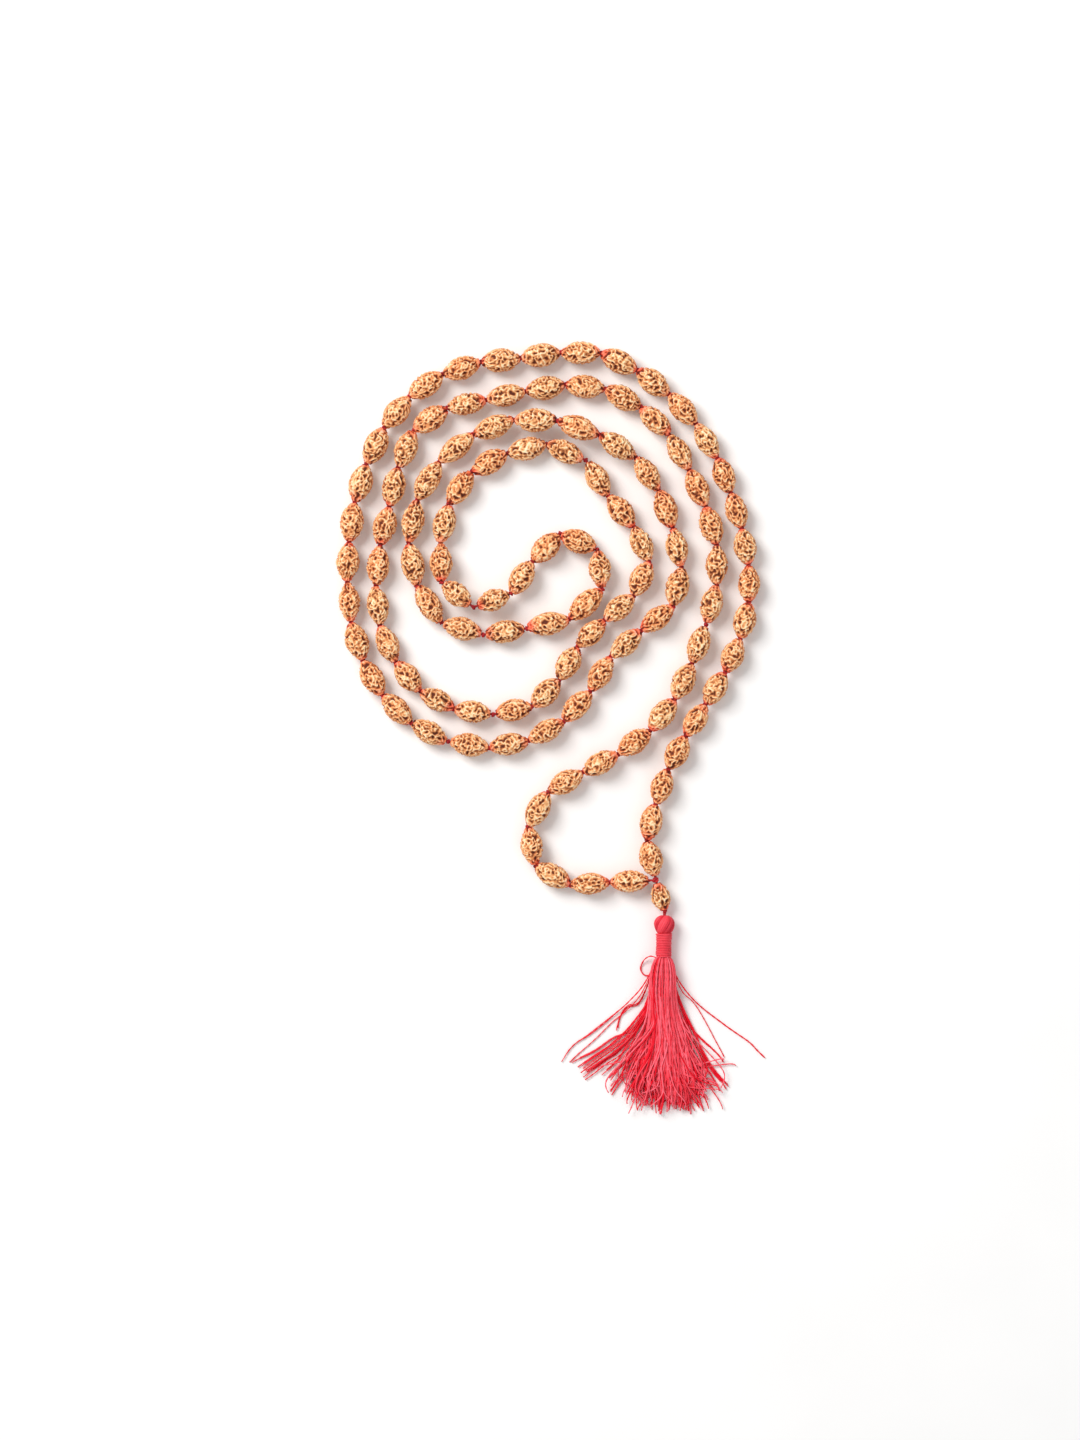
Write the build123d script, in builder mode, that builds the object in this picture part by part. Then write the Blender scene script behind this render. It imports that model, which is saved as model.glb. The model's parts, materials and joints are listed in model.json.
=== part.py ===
from build123d import *
import math
import os

# A knotted string of 108 prayer beads with a guru bead and a tassel, lying coiled on a table.
# Millimetres. +Z is up and the table is z = 0. The origin is on the table, straight below the
# knot that gathers the loop. +Y runs from the tassel towards the coil.

# ---- driving dimensions -----------------------------------------------------------------
BEAD_COUNT = 108
BEAD_LENGTH = 11.2
BEAD_DIAMETER = 7.9
BEAD_END_RADIUS = 1.15   # flat land round the bore
BORE_RADIUS = 0.85

# The seeds are strung unsorted: (last bead of a run, what the run adds to the bead's length).
BEAD_RUNS = ((12, -0.8), (42, 0.1), (55, 1.3), (61, -0.4), (69, 0.1), (79, -0.6), (96, 0.1), (108, 0))

CORD_RADIUS = 0.5
KNOT_RADIUS = 1.1        # overhand knot between two beads
GATHER_RADIUS = 1.45     # knot where the two ends of the strand meet
FIRST_CLEAR = 1.9        # gathering knot's centre to the first bead
LAST_CLEAR = 2.8         # gathering knot's centre to the last bead
GAP_LIMITS = (0.6, 3.5)  # the space between two beads lies between these

# Bare cord beside a knot, on top of the usual space, by knot number.
SLACK = {31: 0.8, 55: 0.4, 56: 0.6, 57: 0.6, 60: 1.2, 67: 1.4, 76: 1.2, 97: 0.8}

REST_Z = BEAD_DIAMETER / 2
# How far a knot is raised where the strand lies over another lap, by knot number.
LIFTS = {42: 1.0, 43: 3.8, 44: 4.4, 45: 1.6, 59: 1.0, 60: 3.0, 61: 2.4}

LINK_BEADS = 4           # beads that move together as one link of the strand
OUT_LINKS = 13           # links on the way in to the hairpin
BACK_LINKS = 12          # links on the way back to the gathering knot
JOINT_CLEAR = 0.1        # air between a knot and the cord of the link that turns on it

GURU_LENGTH = 8.0
GURU_DIAMETER = 6.4
GURU_CLEAR = 1.5         # gathering knot's centre to the guru bead
GURU_HEADING = -74
HANGER_CLEAR = 0.8       # guru bead to the centre of the knot below it
HANGER_RADIUS = 1.0
HANGER_Z = 3.3

TASSEL_HEADING = -91.5
HEAD_TOP = 1.5           # distances below the hanger knot's centre
HEAD_BOTTOM = 6.8
HEAD_RADIUS = 3.3
HEAD_BORE = 0.6
NECK_TOP = 6.9
NECK_BOTTOM = 14.7
NECK_RADIUS = 2.3
NECK_TURNS = 15
TURN_BULGE = 0.2
NECK_BORE = 1.95
BUNDLE_TOP = 7.2
BUNDLE_RADIUS = 1.85
THREAD_RADIUS = 0.3
LOCK_RADIUS = 0.7

# Sections of the thread bundle: (distance below the hanger knot, half width, half thickness,
# height of its middle above the table).
BUNDLE_SECTIONS = (
    (BUNDLE_TOP, BUNDLE_RADIUS, BUNDLE_RADIUS, HANGER_Z),
    (NECK_BOTTOM, BUNDLE_RADIUS, BUNDLE_RADIUS, HANGER_Z),
    (20, 4.6, 2.4, 3.0),
    (32, 7.2, 2.5, 2.8),
    (44, 10.2, 2.4, 2.6),
    (55, 12.8, 2.1, 2.3),
    (65.5, 14.8, 1.8, 2.0),
)

# Threads and locks that leave the bundle, as seen from above: x to the right of the tassel's
# axis and y up it, both from the hanger knot, then the radius.
STRAYS = (
    (((6.6, -28), (16, -36), (25, -41), (30, -42), (36, -49.5)), THREAD_RADIUS),
    (((10.2, -40), (14, -48), (21, -55), (24.5, -58)), THREAD_RADIUS),
    (((8.6, -34), (14, -42), (20, -50), (25, -54)), THREAD_RADIUS),
    (((12.2, -48), (15.5, -55), (19.5, -60)), THREAD_RADIUS),
    (((-8.6, -34), (-15, -43), (-22, -49), (-27, -52)), LOCK_RADIUS),
    (((-10.6, -41), (-15, -50), (-21, -56)), LOCK_RADIUS),
    (((-6.4, -27), (-13, -37), (-22, -44), (-32, -51)), THREAD_RADIUS),
    (((-3.3, -15.6), (-6, -16.5), (-8, -19), (-7.2, -22)), THREAD_RADIUS),
)

# ---- how the strand lies ----------------------------------------------------------------
# Points that the strand passes through, one to every bead or two: out of the gathering knot
# and round the outer lap, round the inner lap, through the hairpin, and back along its own
# inside to the gathering knot.
OUTER_LAP_OUT = (
    (0, 0), (-3, 6), (-2, 17), (1, 28), (12, 50), (24, 70), (30, 93), (26, 117), (16, 141),
    (-2, 160), (-25, 169), (-37, 167), (-50, 166), (-74, 158), (-90, 138), (-97, 115),
    (-98, 89), (-90, 63), (-71, 46), (-46, 43),
)
INNER_LAP_OUT = (
    (-24, 56), (-9, 77), (1, 83), (8, 92), (7, 105), (4, 117), (-9, 137), (-24, 144),
    (-36, 147), (-62, 140), (-77, 119), (-75, 91), (-63, 79), (-49, 79), (-37, 81),
)
HAIRPIN = ((-26, 84), (-17, 93), (-20, 107), (-33, 110), (-41, 98), (-48, 90))
INNER_LAP_BACK = (
    (-58, 87), (-67, 92), (-69, 103), (-63, 126), (-41, 138), (-27, 138), (-19, 129),
    (-11, 117), (-3, 107), (-3, 97), (-11, 87), (-21, 79), (-28, 70), (-33, 60), (-44, 54),
)
OUTER_LAP_BACK = (
    (-70, 57), (-86, 75), (-89, 99), (-84, 124), (-75, 146), (-50, 154), (-37, 157),
    (-23, 158), (-1, 148), (13, 126), (20, 100), (14, 76), (3, 53), (-18, 37), (-38, 24),
    (-41, 12), (-35, 1), (-10, 0), (0, 0),
)
TRAIL_STEPS = 5000

with BuildLine() as lay:
    Spline(*OUTER_LAP_OUT, *INNER_LAP_OUT, *HAIRPIN, *INNER_LAP_BACK, *OUTER_LAP_BACK)
trail = [lay.edges()[0] @ (step / TRAIL_STEPS) for step in range(TRAIL_STEPS + 1)]


def bead_length(number):
    """Length of a counting bead, numbered from 1 along the strand."""
    return BEAD_LENGTH + next(extra for last, extra in BEAD_RUNS if number <= last)


def bead_step(number, gap):
    """Distances along a bead's axis: knot to bead, the bead, and bead to the next knot."""
    before = (gap + SLACK.get(number - 1, 0)) / 2
    after = (gap + SLACK.get(number, 0)) / 2
    if number == 1:
        before = FIRST_CLEAR
    if number == BEAD_COUNT:
        after = LAST_CLEAR
    return before, bead_length(number), after


def lay_knots(gap):
    """Knot centres from the gathering knot round the trail, as many as fit at this spacing."""
    laid = [Vector(0, 0, REST_Z)]
    at = 0
    for number in range(1, BEAD_COUNT + 1):
        height = REST_Z + LIFTS.get(number, 0)
        rise = height - laid[-1].Z
        reach = math.sqrt(sum(bead_step(number, gap)) ** 2 - rise ** 2)
        start = Vector(laid[-1].X, laid[-1].Y)
        while at < TRAIL_STEPS and (trail[at] - start).length < reach:
            at += 1
        if (trail[at] - start).length < reach:
            break
        near = (trail[at - 1] - start).length
        far = (trail[at] - start).length
        spot = trail[at - 1] + (trail[at] - trail[at - 1]) * ((reach - near) / (far - near))
        laid.append(Vector(spot.X, spot.Y, height))
    return laid


def fill_trail():
    """The widest space between beads at which all of them still fit on the trail."""
    low, high = GAP_LIMITS
    while high - low > 1e-6:
        middle = (low + high) / 2
        if len(lay_knots(middle)) > BEAD_COUNT:
            low = middle
        else:
            high = middle
    return low


knot_gap = fill_trail()
knots = lay_knots(knot_gap)
knots[BEAD_COUNT] = knots[0]

# ---- solids ------------------------------------------------------------------------------


def spindle(length, diameter):
    """A seed that tapers to both ends, with its bore along Z and its middle at the origin."""
    half = length / 2
    taper = 2 * math.atan2(diameter / 2 - BEAD_END_RADIUS, half)
    with BuildPart() as seed:
        with BuildSketch(Plane.XZ):
            with BuildLine():
                Line((BORE_RADIUS, -half), (BEAD_END_RADIUS, -half))
                Spline(
                    (BEAD_END_RADIUS, -half),
                    (diameter / 2, 0),
                    (BEAD_END_RADIUS, half),
                    tangents=((math.sin(taper), math.cos(taper)), (-math.sin(taper), math.cos(taper))),
                )
                Line((BEAD_END_RADIUS, half), (BORE_RADIUS, half))
                Line((BORE_RADIUS, half), (BORE_RADIUS, -half))
            make_face()
        revolve(axis=Axis.Z)
    return seed.part


def save(part, label):
    part.label = label
    export_step(part, f"parts/{label}.step")


def bead_place(number):
    """The place of a counting bead: its middle, with Z along its axis."""
    start, end = knots[number - 1], knots[number]
    along = (end - start).normalized()
    before, length, _ = bead_step(number, knot_gap)
    return Location(Plane(start + along * (before + length / 2), z_dir=along))


def bead_link(label, numbers):
    """The beads of one link, as separate solids in one node."""
    with BuildPart() as beads:
        for number in numbers:
            with Locations(bead_place(number)):
                add(spindle(bead_length(number), BEAD_DIAMETER))
    save(beads.part, label)


def run_place(start, end):
    """The place of a straight run of cord: its start, with Z towards its end."""
    return Location(Plane(start, z_dir=(end - start).normalized()))


def plain_cord(length):
    """A straight cord that stands on the origin."""
    with BuildPart() as cord:
        with BuildSketch():
            Circle(CORD_RADIUS)
        extrude(amount=length)
    return cord.part


def knotted_cord(length, knot_radius):
    """A straight cord that stands on the origin, with a knot centred on its top end."""
    neck = length - math.sqrt(knot_radius**2 - CORD_RADIUS**2)
    with BuildPart() as cord:
        with BuildSketch(Plane.XZ):
            with BuildLine():
                Polyline((0, length + knot_radius), (0, 0), (CORD_RADIUS, 0), (CORD_RADIUS, neck))
                ThreePointArc((CORD_RADIUS, neck), (knot_radius, length), (0, length + knot_radius))
            make_face()
        revolve(axis=Axis.Z)
    return cord.part


def cord_link(label, path, first_knot, open_end):
    """The cord of one link, along its knot centres, with a knot after every bead.

    It starts just off the first knot, which belongs to the link before it. With an open end it
    also stops just off the last knot, which belongs to the link that it meets there.
    """
    first_clear = (path[1] - path[0]).normalized() * (first_knot + JOINT_CLEAR)
    corners = [path[0] + first_clear, *path[1:]]
    with BuildPart() as cord:
        for start, end in zip(corners, corners[1:]):
            length = (end - start).length
            with Locations(run_place(start, end)):
                if open_end and end == path[-1]:
                    add(plain_cord(length - KNOT_RADIUS - JOINT_CLEAR))
                else:
                    add(knotted_cord(length, KNOT_RADIUS))
    save(cord.part, label)


def strand_link(name, first_bead, last_bead, open_end=False):
    """Beads and cord of one link, from the bead next to its joint to the last one."""
    if first_bead < last_bead:
        path = knots[first_bead - 1 : last_bead + 1]
    else:
        path = knots[first_bead : last_bead - 2 : -1]
    bead_link(f"beads_{name}", range(min(first_bead, last_bead), max(first_bead, last_bead) + 1))
    first_knot = GATHER_RADIUS if first_bead in (1, BEAD_COUNT) else KNOT_RADIUS
    cord_link(f"cord_{name}", path, first_knot, open_end)


os.makedirs("parts", exist_ok=True)

for link in range(OUT_LINKS):
    bead = link * LINK_BEADS + 1
    strand_link(f"out_{link + 1:02}", bead, bead + LINK_BEADS - 1)

for link in range(BACK_LINKS):
    bead = BEAD_COUNT - link * LINK_BEADS
    strand_link(f"back_{link + 1:02}", bead, bead - LINK_BEADS + 1, link == BACK_LINKS - 1)

strand_link("hairpin", OUT_LINKS * LINK_BEADS + 1, BEAD_COUNT - BACK_LINKS * LINK_BEADS)

# ---- guru bead and its cord --------------------------------------------------------------
gather = knots[0]
hanger_reach = GURU_CLEAR + GURU_LENGTH + HANGER_CLEAR
flat_reach = math.sqrt(hanger_reach**2 - (gather.Z - HANGER_Z) ** 2)
hanger = Vector(flat_reach, 0, HANGER_Z).rotate(Axis.Z, GURU_HEADING)
guru_axis = (hanger - gather).normalized()

cord_end = hanger - guru_axis * (HANGER_RADIUS + JOINT_CLEAR)
with BuildPart() as guru_cord:
    with Locations(run_place(cord_end, gather)):
        add(knotted_cord((gather - cord_end).length, GATHER_RADIUS))
save(guru_cord.part, "guru_cord")

guru_middle = gather + guru_axis * (GURU_CLEAR + GURU_LENGTH / 2)
with BuildPart() as guru_bead:
    with Locations(run_place(guru_middle, hanger)):
        add(spindle(GURU_LENGTH, GURU_DIAMETER))
save(guru_bead.part, "guru_bead")

with BuildPart() as hanger_knot:
    with Locations(hanger):
        Sphere(HANGER_RADIUS)
save(hanger_knot.part, "hanger_knot")

# ---- tassel ------------------------------------------------------------------------------
# Its own plane: origin on the hanger knot, y back up the tassel's axis, z up from the table.
down = Vector(1, 0, 0).rotate(Axis.Z, TASSEL_HEADING)
tassel = Plane(hanger, x_dir=down.rotate(Axis.Z, 90), z_dir=(0, 0, 1))
tassel_axis = Axis(hanger, down)


def below(distance):
    """The point on the tassel's axis at a distance below the hanger knot."""
    return hanger + down * distance


cord_top = HANGER_RADIUS + JOINT_CLEAR
with BuildPart() as tassel_cord:
    with Locations(run_place(below(cord_top), below(NECK_TOP))):
        add(plain_cord(NECK_TOP - cord_top))
save(tassel_cord.part, "tassel_cord")

with BuildPart() as head_knot:
    with BuildSketch(tassel):
        with BuildLine():
            ThreePointArc(
                (HEAD_BORE, -HEAD_TOP),
                (HEAD_RADIUS, -(HEAD_TOP + HEAD_BOTTOM) / 2),
                (HEAD_BORE, -HEAD_BOTTOM),
            )
            Line((HEAD_BORE, -HEAD_BOTTOM), (HEAD_BORE, -HEAD_TOP))
        make_face()
    revolve(axis=tassel_axis)
save(head_knot.part, "head_knot")

turn = (NECK_BOTTOM - NECK_TOP) / NECK_TURNS
with BuildPart() as neck_wrap:
    with BuildSketch(tassel):
        with BuildLine():
            for wound in range(NECK_TURNS):
                top = -(NECK_TOP + wound * turn)
                ThreePointArc(
                    (NECK_RADIUS, top),
                    (NECK_RADIUS + TURN_BULGE, top - turn / 2),
                    (NECK_RADIUS, top - turn),
                )
            Polyline(
                (NECK_RADIUS, -NECK_BOTTOM),
                (NECK_BORE, -NECK_BOTTOM),
                (NECK_BORE, -NECK_TOP),
                (NECK_RADIUS, -NECK_TOP),
            )
        make_face()
    revolve(axis=tassel_axis)
save(neck_wrap.part, "neck_wrap")

with BuildPart() as thread_bundle:
    for distance, half_width, half_thickness, height in BUNDLE_SECTIONS:
        middle = Vector(below(distance).X, below(distance).Y, height)
        with BuildSketch(Plane(middle, x_dir=tassel.x_dir, z_dir=down)):
            Ellipse(half_width, half_thickness)
    loft()
save(thread_bundle.part, "thread_bundle")

with BuildPart() as stray_threads:
    for points, radius in STRAYS:
        with BuildLine(tassel.offset(radius - HANGER_Z)) as run:
            Spline(*points)
        with BuildSketch(Plane(run.line @ 0, z_dir=run.line % 0)):
            Circle(radius)
        sweep()
save(stray_threads.part, "stray_threads")
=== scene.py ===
"""The looks of the mala: rough seeds, a knotted red cord and a loose thread tassel on a pale table."""

import itertools
import json
import math

import bpy
import numpy as np
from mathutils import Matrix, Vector

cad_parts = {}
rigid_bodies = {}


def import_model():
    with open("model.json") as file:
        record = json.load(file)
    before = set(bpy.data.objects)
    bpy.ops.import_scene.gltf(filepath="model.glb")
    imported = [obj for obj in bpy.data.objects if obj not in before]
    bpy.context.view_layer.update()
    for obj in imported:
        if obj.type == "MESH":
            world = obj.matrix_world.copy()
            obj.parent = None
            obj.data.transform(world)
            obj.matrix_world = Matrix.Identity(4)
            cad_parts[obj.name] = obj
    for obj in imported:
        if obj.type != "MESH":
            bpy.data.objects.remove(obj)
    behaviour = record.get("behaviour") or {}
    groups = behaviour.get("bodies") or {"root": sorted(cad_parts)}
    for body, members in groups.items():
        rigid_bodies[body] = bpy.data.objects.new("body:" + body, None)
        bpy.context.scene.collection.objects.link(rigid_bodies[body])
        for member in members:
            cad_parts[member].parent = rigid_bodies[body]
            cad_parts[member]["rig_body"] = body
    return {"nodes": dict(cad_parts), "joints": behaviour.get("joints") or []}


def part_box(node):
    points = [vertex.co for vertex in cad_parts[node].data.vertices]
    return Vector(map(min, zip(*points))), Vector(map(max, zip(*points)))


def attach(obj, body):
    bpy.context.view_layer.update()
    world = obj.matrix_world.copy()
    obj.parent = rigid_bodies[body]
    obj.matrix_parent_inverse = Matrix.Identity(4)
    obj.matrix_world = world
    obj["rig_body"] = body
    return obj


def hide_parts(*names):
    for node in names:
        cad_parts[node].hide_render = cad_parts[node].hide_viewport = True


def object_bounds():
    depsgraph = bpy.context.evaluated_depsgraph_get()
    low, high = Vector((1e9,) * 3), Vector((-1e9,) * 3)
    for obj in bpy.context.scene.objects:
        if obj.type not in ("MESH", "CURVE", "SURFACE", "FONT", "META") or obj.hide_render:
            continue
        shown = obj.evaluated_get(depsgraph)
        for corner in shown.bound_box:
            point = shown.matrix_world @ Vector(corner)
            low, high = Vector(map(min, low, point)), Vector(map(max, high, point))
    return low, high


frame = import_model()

cad_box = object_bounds()
joints = {joint["name"]: joint for joint in frame["joints"]}

# Lengths are in millimetres where a comment gives no other unit. A pair is a range that a random
# value is drawn from, unless its comment says what the two are.
MM = 0.001  # one millimetre in metres
TABLE_Z = cad_box[0].z  # in metres
UP = np.array((0.0, 0.0, 1.0))
FULL_TURN = 2 * math.pi
rng = np.random.default_rng(108)

# ---- numbers for the seeds ---------------------------------------------------------------
SEED_ROWS = 92  # rings of points from end to end
SEED_COLUMNS = 120  # points around a ring
BORE_ROWS = 6  # rings of points along the bore
BORE_RADIUS = 0.62
BORE_INSET = 0.12  # from a seed's end to the first ring of its bore
FUNNEL_RADIUS = 0.8  # the bore widens where a knot sits in it
FUNNEL_REACH = 0.5  # how far in from a seed's end the bore stays wide
MOUTH_RADIUS = 1.05  # radius of the seed where the bore opens
TIP_REACH = 0.5  # how far a tip runs past the CAD bead towards its knot
TILT = 0.05  # how far a seed leans on its cord, in radians
SLIMNESS = (0.91, 1.0)  # width of a seed as a share of the CAD bead's
FULLNESS = (1.75, 2.3)  # a power: above 2 gives blunter shoulders than a parabola
SHOULDER_POWER = 0.92
OUTLINE_STEPS = 600  # fine steps from which the evenly spaced rings are read
FACE_COUNTS = (4, 5, 5, 6)  # how many lines may run from end to end of a seed
LOBE_DEPTH = 0.035  # share of the radius by which a seed swells between two lines
RELIEF_DEPTH = (0.6, 0.95)  # from the bottom of a pit to the top of a ridge
END_CALM = 1.1  # length at each end over which the relief fades out
END_RELIEF = 0.15  # share of the relief that is left at the very end
RIDGE_SIZE, RIDGE_WEIGHT = 1.45, 1.5  # the net of ridges
PIT_SIZE, PIT_WEIGHT = 0.95, 0.75  # the pits that break it up
GRAIN_SIZE, GRAIN_WEIGHT = 0.36, 0.16
LINE_EDGES, LINE_WEIGHT = (0.1, 0.45), 0.2  # a lengthwise line's floor and rim, from its middle
RIDGE_LEVEL = 1.04  # height of the relief before anything is taken off it
WARP_SIZE, WARP = 2.3, 0.42  # how far the pattern is pulled about
WANDER_SIZE, WANDER = 3.2, 0.28  # how far a line strays round the seed, in radians
NOISE_SPAN = 50  # the patterns of two seeds start up to this far apart
NOISE_KEYS = 11  # noise keys set aside for each seed
SEEDS_PER_LINK = 8  # the most seeds that one link has
GURU_KEY = 7001
DYE_REACH = (1.6, 4.2)  # how far the cord's dye creeps over a seed
DYE_STRENGTH = (0.25, 1.1)
DYE_EVEN = 0.65  # share of the dye's reach that is the same all round
SEED_TONES = (0.05, 0.95)

# ---- numbers for the cord ----------------------------------------------------------------
CORD_RADIUS = 0.46
CORD_STEP = 0.45
CORD_COLUMNS = 10
CORD_TONES = (0.3, 0.7)
CORD_PLIES = 2  # every cord and thread is twisted from two
PLY_DEPTH = 0.16  # depth of the groove between plies, as a share of the radius
PLY_PITCH = 2.1  # length in which the twist repeats
KNOT_STRAND = 0.33  # radius of the cord where it is pulled tight in a knot
KNOT_TURN = 0.62  # from a knot's centre to the middle of its outer strand
KNOT_HEIGHT = 0.28
KNOT_STEPS = 60
KNOT_PITCH = PLY_PITCH * 0.8
KNOT_TONES = (0.2, 0.6)


# ---- numeric helpers ---------------------------------------------------------------------
TINY = 1e-12
STEEP = 0.9  # a direction with a larger rise than this takes X, not UP, as its helper
X_AXIS = np.array((1.0, 0, 0))


def unit(vectors):
    """The same directions with length one."""
    return vectors / np.maximum(np.linalg.norm(vectors, axis=-1, keepdims=True), TINY)


def smoothstep(low, high, value):
    """A smooth rise from 0 where the value is low to 1 where it is high."""
    share = np.clip((value - low) / (high - low), 0, 1)
    return share * share * (3 - 2 * share)


GRADIENTS = unit(np.array([d for d in itertools.product((-1, 0, 1), repeat=3) if any(d)], float))
CELL_FACTORS = (374761393, 668265263, 1274126177)
KEY_FACTOR = 362437
MIX_FACTOR = 1103515245
LOW_BITS = 0xFFFFFFFF
NOISE_GAIN = 1.6  # brings the noise to about -1 to 1


def lattice_gradient(cell, key):
    """A gradient for each lattice cell, picked by mixing the bits of its place."""
    mixed = sum(cell[..., axis] * factor for axis, factor in enumerate(CELL_FACTORS)) + key * KEY_FACTOR
    mixed &= LOW_BITS
    mixed = ((mixed ^ (mixed >> 13)) * MIX_FACTOR) & LOW_BITS
    return GRADIENTS[(mixed ^ (mixed >> 16)) % len(GRADIENTS)]


def noise(points, key):
    """Gradient noise at points given in cells, from about -1 to 1."""
    cell = np.floor(points).astype(np.int64)
    part = points - cell
    ease = part**3 * (part * (part * 6 - 15) + 10)
    total = np.zeros(points.shape[:-1])
    for corner in itertools.product((0, 1), repeat=3):
        weight = np.prod(np.where(np.array(corner, bool), ease, 1 - ease), axis=-1)
        total += weight * ((part - corner) * lattice_gradient(cell + corner, key)).sum(axis=-1)
    return total * NOISE_GAIN


def basis(direction):
    """Two unit vectors square to a direction and to each other, right-handed with it."""
    helper = X_AXIS if abs(direction[2]) > STEEP else UP
    side = unit(np.cross(helper, direction))
    return side, np.cross(direction, side)


# ---- mesh helpers ------------------------------------------------------------------------
def ring_quads(rows, columns, closed):
    """Quads between neighbouring rings of points. Closed also joins the last ring to the first."""
    row = np.arange(rows if closed else rows - 1)[:, None]
    column = np.arange(columns)[None, :]
    after, beside = (row + 1) % rows, (column + 1) % columns
    here, there = row * columns, after * columns
    corners = (here + column, here + beside, there + beside, there + column)
    return np.stack(np.broadcast_arrays(*corners), axis=-1).reshape(-1, 4)


class Surface:
    """Points in millimetres and faces gathered for one piece, with float marks on the points."""

    def __init__(self):
        self.points, self.quads, self.triangles, self.marks, self.count = [], [], [], {}, 0

    def add(self, points, quads, triangles=None, **marks):
        self.points.append(points)
        self.quads.append(quads + self.count)
        if triangles is not None:
            self.triangles.append(triangles + self.count)
        for mark, values in marks.items():
            self.marks.setdefault(mark, []).append(np.broadcast_to(values, len(points)))
        self.count += len(points)

    def piece(self, name, look, node):
        """Makes the Blender object, which stands for a CAD node and rides on that node's body."""
        quads = np.concatenate(self.quads)
        triangles = np.concatenate(self.triangles) if self.triangles else np.zeros((0, 3), int)
        corners = np.concatenate([quads.ravel(), triangles.ravel()])
        starts = np.concatenate([np.arange(len(quads)) * 4, quads.size + np.arange(len(triangles)) * 3])
        mesh = bpy.data.meshes.new(name)
        mesh.vertices.add(self.count)
        mesh.vertices.foreach_set("co", (np.concatenate(self.points) * MM).astype(np.float32).ravel())
        mesh.loops.add(len(corners))
        mesh.loops.foreach_set("vertex_index", corners.astype(np.int32))
        mesh.polygons.add(len(starts))
        mesh.polygons.foreach_set("loop_start", starts.astype(np.int32))
        mesh.update(calc_edges=True)
        mesh.shade_smooth()
        for mark, values in self.marks.items():
            attribute = mesh.attributes.new(mark, "FLOAT", "POINT")
            attribute.data.foreach_set("value", np.concatenate(values).astype(np.float32))
        mesh.materials.append(look)
        made = bpy.data.objects.new(name, mesh)
        bpy.context.scene.collection.objects.link(made)
        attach(made, frame["nodes"][node]["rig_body"])
        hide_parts(node)
        return made


def carried_frames(paths):
    """Side and up directions carried along paths (path, step, 3) without needless twist."""
    ahead = unit(np.gradient(paths, axis=1))
    steep = np.abs(ahead[:, 0, 2:3]) > STEEP
    side = unit(np.cross(np.where(steep, X_AXIS, UP), ahead[:, 0]))
    sides = np.empty_like(paths)
    for step in range(paths.shape[1]):
        side = unit(side - (side * ahead[:, step]).sum(axis=-1, keepdims=True) * ahead[:, step])
        sides[:, step] = side
    return sides, np.cross(ahead, sides)


def add_tubes(surface, paths, radii, columns, pitch=None, **marks):
    """Tubes with capped ends along paths (path, step, 3). A pitch gives them the ridges of a twist."""
    sides, ups = carried_frames(paths)
    count, steps = paths.shape[:2]
    lengths = np.linalg.norm(np.diff(paths, axis=1), axis=-1)
    along = np.concatenate([np.zeros((count, 1)), np.cumsum(lengths, axis=1)], axis=1)
    angle = np.arange(columns) * (FULL_TURN / columns)
    radius = np.broadcast_to(radii, (count, steps))[..., None] * np.ones(columns)
    if pitch:
        turn = CORD_PLIES * angle - FULL_TURN * along[..., None] / pitch
        radius = radius * (1 - PLY_DEPTH + PLY_DEPTH * np.cos(turn))
    spokes = np.cos(angle)[:, None] * sides[:, :, None] + np.sin(angle)[:, None] * ups[:, :, None]
    rings = paths[:, :, None] + radius[..., None] * spokes
    size = steps * columns + 2
    points = np.concatenate([rings.reshape(count, -1, 3), paths[:, :1], paths[:, -1:]], axis=1)
    column = np.arange(columns)
    beside = (column + 1) % columns
    last_ring = (steps - 1) * columns
    first_cap = np.stack([np.full(columns, size - 2), beside, column], axis=-1)
    last_cap = np.stack([np.full(columns, size - 1), last_ring + column, last_ring + beside], axis=-1)
    shift = (np.arange(count) * size)[:, None, None]
    quads = (ring_quads(steps, columns, closed=False) + shift).reshape(-1, 4)
    caps = (np.concatenate([first_cap, last_cap]) + shift).reshape(-1, 3)
    spread = {mark: np.repeat(np.broadcast_to(values, count), size) for mark, values in marks.items()}
    surface.add(points.reshape(-1, 3), quads, caps, **spread)


FINE_STEPS = 20  # per corner, from which the evenly spaced steps are read


def smooth_path(corners, steps):
    """A path of evenly spaced steps along a rounded line through corners, by Catmull-Rom."""
    corners = np.asarray(corners, float)
    padded = np.concatenate([2 * corners[:1] - corners[1:2], corners, 2 * corners[-1:] - corners[-2:-1]])
    share = np.linspace(0, len(corners) - 1, FINE_STEPS * len(corners))
    span = np.minimum(share.astype(int), len(corners) - 2)
    t = (share - span)[:, None]
    a, b, c, d = (padded[span + shift] for shift in range(4))
    fine = 0.5 * (2 * b + (c - a) * t + (2 * a - 5 * b + 4 * c - d) * t**2 + (3 * b - a - 3 * c + d) * t**3)
    travel = np.concatenate([[0], np.cumsum(np.linalg.norm(np.diff(fine, axis=0), axis=1))])
    even = np.linspace(0, travel[-1], steps)
    return np.stack([np.interp(even, travel, fine[:, axis]) for axis in range(3)], axis=-1)


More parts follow.
